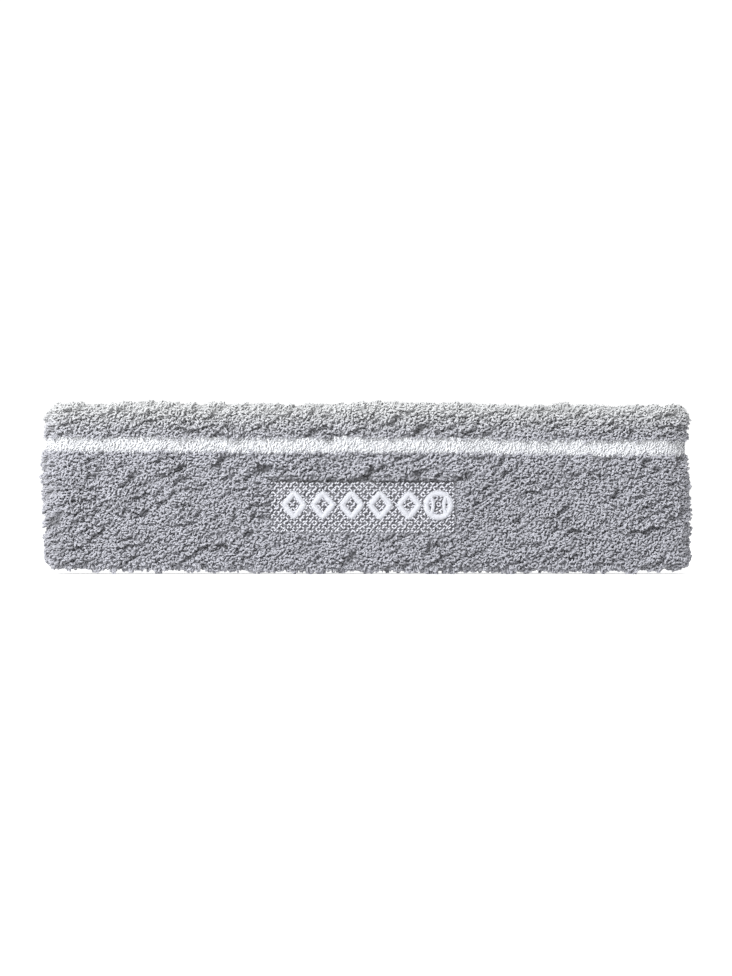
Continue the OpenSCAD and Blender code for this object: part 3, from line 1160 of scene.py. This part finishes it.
def walk(corners, step, ease):
    """Points at an even step along a line through the corners, with directions that turn over the
    distance ease at each corner."""
    corners = np.array(corners, float)
    gone = np.concatenate([[0], np.cumsum(np.linalg.norm(np.diff(corners, axis=0), axis=1))])
    count = int(round(gone[-1] / step))
    at = (np.arange(count) + 0.5) * gone[-1] / count

    def point(where):
        return np.stack([np.interp(where, gone, corners[:, i]) for i in (0, 1)], -1)

    shut = np.allclose(corners[0], corners[-1])
    before, after = at - ease, at + ease
    if shut:
        before, after = before % gone[-1], after % gone[-1]
    return point(at), point(after) - point(before)


class HEADBAND_OT_embroidery(bpy.types.Operator):
    """Net stitches that hold the pile down, satin-stitched figures, and what lies behind them"""
    bl_idname = "headband.embroidery"
    bl_label = "Embroidery"

    def execute(self, context):
        colours = context.scene.headband_colours
        self.net(thread_finish("Net thread", tuple(colours.net)))
        self.figures(thread_finish("Satin thread", tuple(colours.satin), 0.4))
        hidden = {"embroidery_backing": knit_finish("Backing fleece", (0.85, 0.85, 0.84), 0.5),
                  "bobbin_thread": thread_finish("Lower thread", (0.82, 0.82, 0.84))}
        for node, finish in hidden.items():
            slots = frame["nodes"][node].data.materials
            slots.clear()
            slots.append(finish)
        return {"FINISHED"}

    @staticmethod
    def sew(name, starts, ends, node, slot, sizes):
        """Lays stitches on the front and lets them stand for a node."""
        starts, ends = (np.stack(settle(*v.T), -1) for v in (starts, ends))
        away = np.broadcast_to((0, -1.0, 0), starts.shape)
        made = lay_stitches(name, starts, ends, away, sizes)
        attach(made, "front_centre")
        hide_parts(node)

    def net(self, finish):
        pitch = 0.92
        y = PATCH_HIGH[1] - 0.1
        columns = int((PATCH_HIGH[0] - PATCH_LOW[0]) / pitch)
        rows = int((PATCH_HIGH[2] - PATCH_LOW[2]) / pitch)
        i, j = (v.ravel() for v in np.meshgrid(np.arange(columns), np.arange(rows)))
        x = PATCH_LOW[0] + (i + 0.5 + 0.2 * np.sin(i * 2.3 + j * 1.7)) * pitch
        z = PATCH_LOW[2] + (j + 0.5 + 0.2 * np.sin(i * 1.9 - j * 2.9)) * pitch
        slant = np.where((i * 3 + j * 5) % 7 > 1, 1, -1)
        rise = slant * pitch * (0.34 + 0.1 * np.sin(i * 5.1 + j * 3.3))
        y = y + 0.1 * np.sin(x * 0.9) * np.sin(z * 1.3)
        starts = np.stack([x - 0.4 * pitch, y, z - rise], -1)
        ends = np.stack([x + 0.4 * pitch, y, z + rise], -1)
        self.sew("net_stitches", starts, ends, "embroidery_net", "net_thread", {
            "Thread width": 0.4 * MM, "Thread height": 0.36 * MM, "Rise": 0.34 * MM,
            "Sink": 0.5 * MM, "Uneven": 0.2, "Seed": 5, "Material": finish})

    def figures(self, finish):
        middle = (FIGURE_LOW[2] + FIGURE_HIGH[2]) / 2
        ball_r = (FIGURE_HIGH[2] - FIGURE_LOW[2]) / 2
        row = LOZENGES * LOZENGE_PITCH
        start = (FIGURE_LOW[0] + FIGURE_HIGH[0] - row - 2 * ball_r) / 2
        ball_x = start + row + ball_r
        ring_r = ball_r - SATIN_W / 2
        lines = [lozenge_line(start + (k + 0.5) * LOZENGE_PITCH, 2.95, ball_r - 0.85)
                 for k in range(LOZENGES)]
        turn = np.linspace(0, 2 * math.pi, 49)
        lines.append(np.stack([ball_x + ring_r * np.cos(turn), ring_r * np.sin(turn)], -1))
        bow = np.linspace(-0.62, 0.62, 15)
        for side in (-1, 1):
            bow_x = ball_x + side * ball_r * (1.45 - 1.1 * np.cos(bow))
            lines.append(np.stack([bow_x, 1.1 * ball_r * np.sin(bow)], -1))
        spots, sides = [], []
        for k, corners in enumerate(lines):
            spot, run = walk(corners, 0.3, 0.55)
            run /= np.linalg.norm(run, axis=1, keepdims=True)
            half_line = SATIN_W / 2 * (0.7 if k > LOZENGES else 1)
            spots.append(spot)
            sides.append(np.stack([-run[:, 1], run[:, 0]], -1) * half_line)
        spot, side = np.concatenate(spots), np.concatenate(sides)
        y = np.full(len(spot), FIGURE_HIGH[1] + 0.05)
        starts, ends = (np.stack([flat[:, 0], y, flat[:, 1] + middle], -1)
                        for flat in (spot - side, spot + side))
        self.sew("satin_figures", starts, ends, "embroidery_figures", "satin_thread", {
            "Thread width": 0.44 * MM, "Thread height": 0.4 * MM, "Rise": 0.5 * MM,
            "Sink": 0.35 * MM, "Uneven": 0.06, "Seed": 9, "Material": finish})


FLOOR_HALF = 3000.0        # half of the floor's side
BAND_SHARE = 0.667008197   # the band's width, as a share of what the camera's longer side spans


class HEADBAND_OT_stage(bpy.types.Operator):
    """Pale floor, soft light and the camera"""
    bl_idname = "headband.stage"
    bl_label = "Stage"

    def execute(self, context):
        scene, stage = context.scene, context.scene.headband_stage
        scene.view_settings.view_transform = "Standard"
        centre = Vector((0, 0, BAND_H / 2)) * MM
        self.lay_floor()
        world = bpy.data.worlds.new("Soft room")
        world.use_nodes = True
        self.light_room(world.node_tree, stage.sky)
        scene.world = world
        self.lamp("key", centre, (-0.5, -0.75, 0.62), 0.4, stage.key)
        self.lamp("top", centre, (0.0, 0.0, 1.0), 0.6, stage.key * 0.2)
        camera = bpy.data.cameras.new("camera")
        camera.lens, camera.sensor_width, camera.clip_start = stage.lens, 36.0, 0.01
        distance = 2 * HALF_W * MM / BAND_SHARE * camera.lens / camera.sensor_width
        eye = bpy.data.objects.new("camera", camera)
        eye.location = centre + Vector((0, -distance - FACE * MM, 0))
        eye.rotation_euler = (math.radians(90), 0, 0)
        scene.collection.objects.link(eye)
        scene.camera = eye
        return {"FINISHED"}

    @staticmethod
    def lay_floor():
        f = Finish("Pale floor", (0.9, 0.9, 0.9), 0.85)
        f.feed(f.mix(f.speckle(90.0), (0.6, 0.6, 0.6), (0.64, 0.64, 0.64)))
        f.main.inputs["Emission Color"].default_value = (1, 1, 1, 1)
        f.main.inputs["Emission Strength"].default_value = 0.6
        corners = [(x * FLOOR_HALF, y * FLOOR_HALF, 0)
                   for x, y in ((-1, -1), (1, -1), (1, 1), (-1, 1))]
        make_object("floor", corners, [(0, 1, 2, 3)], f.material, smooth_faces=False)

    @staticmethod
    def light_room(tree, strength):
        """White light from all round, stronger from the left, from above and from behind the
        band."""
        direction = add(tree, "ShaderNodeTexCoord").outputs["Generated"]
        slope = add(tree, "ShaderNodeVectorMath", {0: direction, 1: (-0.12, 0.3, 0.1)},
                    operation="DOT_PRODUCT").outputs["Value"]
        parts = add(tree, "ShaderNodeSeparateXYZ", {0: direction})
        sideways = number(tree, "ABSOLUTE", parts.outputs["X"])
        level = number(tree, "MULTIPLY_ADD", sideways, -0.45, number(tree, "ADD", slope, 0.78))
        background = tree.nodes["Background"]
        background.inputs["Color"].default_value = (1, 1, 1, 1)
        tree.links.new(number(tree, "MULTIPLY", level, strength), background.inputs["Strength"])

    @staticmethod
    def lamp(name, centre, offset, size, power):
        """A square area light that faces the band's middle."""
        light = bpy.data.lights.new(name, "AREA")
        light.size, light.energy = size, power
        lamp = bpy.data.objects.new(name, light)
        lamp.location = centre + Vector(offset)
        lamp.rotation_euler = (centre - lamp.location).to_track_quat("-Z", "Y").to_euler()
        bpy.context.scene.collection.objects.link(lamp)


class HEADBAND_PT_panel(bpy.types.Panel):
    """Lists the headband's sizes, colours and pieces"""
    bl_label = "Headband"
    bl_idname = "HEADBAND_PT_panel"
    bl_space_type = "VIEW_3D"
    bl_region_type = "UI"
    bl_category = "Headband"

    def draw(self, context):
        for setting in SETTINGS:
            group = getattr(context.scene, setting)
            box = self.layout.box()
            for name in group.bl_rna.properties.keys():
                if name not in ("rna_type", "name"):
                    box.prop(group, name)
        for operator in OPERATORS:
            self.layout.operator(operator.bl_idname)


SETTINGS = {"headband_pile": HeadbandPile, "headband_colours": HeadbandColours,
            "headband_stage": HeadbandStage}
OPERATORS = (HEADBAND_OT_stage, HEADBAND_OT_ground_knit, HEADBAND_OT_elastic_threads,
             HEADBAND_OT_outer_terry, HEADBAND_OT_stripe, HEADBAND_OT_inner_terry,
             HEADBAND_OT_closing_seam, HEADBAND_OT_embroidery)


def register():
    for name, group in SETTINGS.items():
        bpy.utils.register_class(group)
        setattr(bpy.types.Scene, name, bpy.props.PointerProperty(type=group))
    for cls in (*OPERATORS, HEADBAND_PT_panel):
        bpy.utils.register_class(cls)


def unregister():
    for cls in (HEADBAND_PT_panel, *reversed(OPERATORS)):
        bpy.utils.unregister_class(cls)
    for name, group in reversed(SETTINGS.items()):
        delattr(bpy.types.Scene, name)
        bpy.utils.unregister_class(group)


def main():
    register()
    for operator in OPERATORS:
        group, name = operator.bl_idname.split(".")
        getattr(getattr(bpy.ops, group), name)()


if __name__ == "__main__":
    main()
